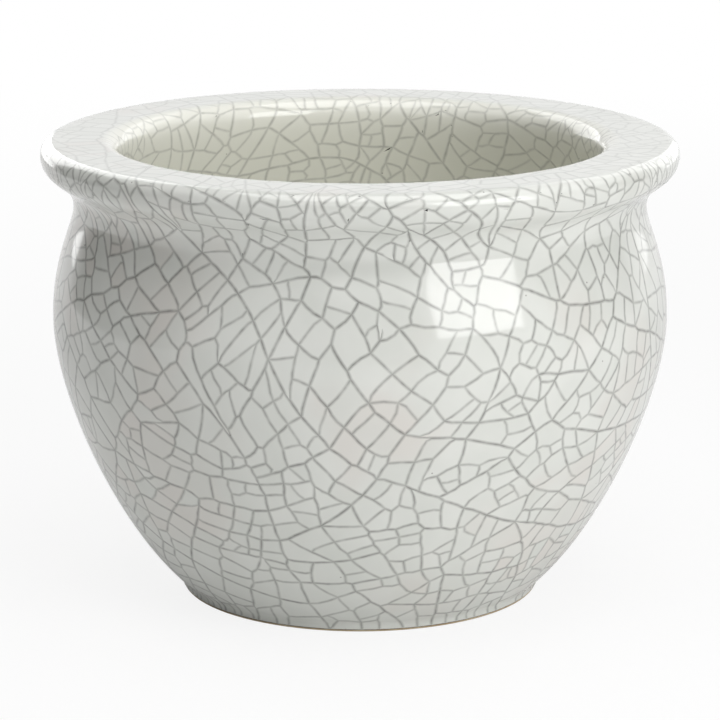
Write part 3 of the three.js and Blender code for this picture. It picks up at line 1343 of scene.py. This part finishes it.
@dataclass
class Camera:
    """The camera, on a long lens in front of the pot and a little above it."""

    distance: float = 1583.0  # millimetres from the point that it looks at
    elevation: float = math.radians(13.66)
    aim_height: float = 109.87
    focal_pixels: float = 3255.8  # focal length, in pixels of the square frame
    sensor: float = 36.0

    def build(self) -> None:
        """Makes the camera and looks through it."""
        data = bpy.data.cameras.new("camera")
        data.sensor_width = self.sensor
        data.lens = self.focal_pixels / FRAME_PIXELS * self.sensor
        camera = bpy.data.objects.new("camera", data)
        bpy.context.collection.objects.link(camera)
        back = Vector((0, -math.cos(self.elevation), math.sin(self.elevation)))
        camera.location = (Vector((0, 0, self.aim_height)) + back * self.distance) * MM
        camera.rotation_euler = (QUARTER - self.elevation, 0, 0)
        bpy.context.scene.camera = camera


@dataclass
class Panel:
    """A flat studio panel that faces the pot: a soft lamp, or a black flag with soft edges.

    Bearing is the angle round from the camera, to the right, and all sizes are in metres.
    """

    name: str
    bearing: float
    elevation: float
    distance: float
    width: float
    height: float
    radiance: float = 0.0  # white is 1, and 0 is a black flag
    edge: float = 0.22  # share of a flag that its edge takes to fade

    def build(self, aim: Vector) -> None:
        """Puts the panel up.

        Args:
            aim: The point that it looks at.
        """
        turn, lift = math.radians(self.bearing), math.radians(self.elevation)
        way = Vector((math.sin(turn) * math.cos(lift), -math.cos(turn) * math.cos(lift), 0))
        way.z = math.sin(lift)
        if self.radiance > 0:
            data = bpy.data.lights.new(self.name, "AREA")
            data.shape = "RECTANGLE"
            data.size, data.size_y = self.width, self.height
            data.energy = self.radiance * math.pi * self.width * self.height
            panel = bpy.data.objects.new(self.name, data)
            bpy.context.collection.objects.link(panel)
        else:
            deselect_all()
            bpy.ops.mesh.primitive_plane_add(size=1)
            panel = bpy.context.object
            panel.name = self.name
            panel.scale = (self.width, self.height, 1)
            panel.visible_camera = False
            panel.visible_diffuse = False
            panel.visible_shadow = False
            panel.data.materials.append(self.black())
        panel.location = aim + way * self.distance
        panel.rotation_euler = way.to_track_quat("Z", "Y").to_euler()

    def black(self) -> bpy.types.Material:
        """Makes black felt, which gives no light back and frays to nothing at its edge.

        Returns:
            The material.
        """
        material = bpy.data.materials.new(self.name)
        shading = Shading(material)
        place = shading.add("SeparateXYZ", {0: shading.add("TexCoord").outputs["Object"]}).outputs
        sides = [shading.add("Math", {0: place[axis]}, operation="ABSOLUTE") for axis in "XY"]
        out = shading.add("Math", {0: sides[0], 1: sides[1]}, operation="MAXIMUM")
        rim = 0.5  # half of the plane
        frayed = shading.add(
            "MapRange",
            {0: out, 1: rim - self.edge, 2: rim, 3: 0.0, 4: 1.0},
            interpolation_type="SMOOTHSTEP",
        )
        felt = shading.add("BsdfDiffuse", {"Color": BLACK})
        clear = shading.add("BsdfTransparent")
        mixed = shading.add("MixShader", {0: frayed, 1: felt, 2: clear})
        shading.add("OutputMaterial", {"Surface": mixed})
        return material


@dataclass
class Studio:
    """A white table and room, a soft lamp on the right, more above and behind, and dark flags."""

    fill: float = 0.06  # how bright the room is beside white
    floor_width: float = 12.0
    floor_gap: float = 0.05  # millimetres under the foot
    floor_colour: str = "f8f8f8"
    floor_glow: float = 0.86  # share of the floor's look that is plain white, without the shadow
    floor_bounce: float = 0.12  # and share of the light that it gives the pot
    lit_near: float = 0.35  # metres from the pot to where the floor starts to fade to white
    lit_far: float = 1.6  # and to where it is white
    aim: tuple[float, float, float] = (0.05, -0.13, 0.17)
    panels: tuple[Panel, ...] = (
        Panel("soft_lamp", 45, 22, 1.2, 0.78, 0.71, 4.8),
        Panel("top_lamp", 0, 84, 1.3, 1.2, 1.2, 2.85),
        Panel("front_lamp", 5, 20, 1.5, 0.9, 0.9, 0.6),
        Panel("back_left_lamp", -150, 20, 1.5, 0.8, 1.2, 1.8),
        Panel("back_right_lamp", 150, 20, 1.5, 0.8, 1.2, 1.0),
        Panel("left_flag", -100, 14, 1.2, 2.0, 1.3),
        Panel("right_flag", 100, 10, 1.3, 1.5, 0.9),
        Panel("front_flag", 0, 8, 1.4, 1.6, 1.0),
    )

    def white_to(
        self, shading: Shading, rays: Sequence[Ray]
    ) -> bpy.types.NodeSocket | bpy.types.Node:
        """Tells rays apart.

        Args:
            shading: The nodes to add to.
            rays: Some kinds of rays.

        Returns:
            What is 1 for those rays and 0 for the rest.
        """
        path = shading.add("LightPath").outputs
        total = path[rays[0].value]
        for ray in rays[1:]:
            total = shading.add("Math", {0: total, 1: path[ray.value]}, operation="MAXIMUM")
        return total

    def world(self) -> None:
        """A room that lights the pot softly and looks white."""
        world = bpy.data.worlds.new("white_room")
        shading = Shading(world)
        seen = self.white_to(shading, list(Ray))
        strength = shading.add("MapRange", {0: seen, 1: 0.0, 2: 1.0, 3: self.fill, 4: 1.0})
        light = shading.add("Background", {"Color": WHITE, "Strength": strength})
        shading.add("OutputWorld", {"Surface": light})
        bpy.context.scene.world = world

    def floor(self) -> None:
        """A pale table that fades to white and keeps the pot's shadow."""
        deselect_all()
        bpy.ops.mesh.primitive_plane_add(
            size=self.floor_width, location=(0, 0, -self.floor_gap * MM)
        )
        floor = bpy.context.object
        floor.name = "table"
        material = bpy.data.materials.new("white_table")
        shading = Shading(material)
        place = shading.add("TexCoord").outputs["Object"]
        away = shading.add("VectorMath", {0: place}, operation="LENGTH").outputs["Value"]
        seen = self.white_to(shading, [Ray.CAMERA])
        share = shading.add(
            "MapRange", {0: seen, 1: 0.0, 2: 1.0, 3: self.floor_bounce, 4: self.floor_glow}
        )
        white = shading.add(
            "MapRange",
            {0: away, 1: self.lit_near, 2: self.lit_far, 3: share, 4: 1.0},
            interpolation_type="SMOOTHSTEP",
        )
        matt = shading.add("BsdfDiffuse", {"Color": colour(self.floor_colour)})
        glow = shading.add("Emission", {"Color": WHITE, "Strength": 1.0})
        mixed = shading.add("MixShader", {0: white, 1: matt, 2: glow})
        shading.add("OutputMaterial", {"Surface": mixed})
        floor.data.materials.append(material)

    def build(self) -> None:
        """Sets the studio up."""
        bpy.context.scene.view_settings.view_transform = "Standard"
        self.world()
        self.floor()
        for panel in self.panels:
            panel.build(Vector(self.aim))


# ---- The scene -----------------------------------------------------------------------------------


def main() -> None:
    """Builds the camera, the pot and the studio."""
    logging.basicConfig(level=logging.INFO, format="%(name)s: %(message)s")
    Camera().build()
    Pot(PotForm(), CrackleNet(seed=8), CrackleNet(seed=9)).build()
    Studio().build()


if __name__ == "__main__":
    main()
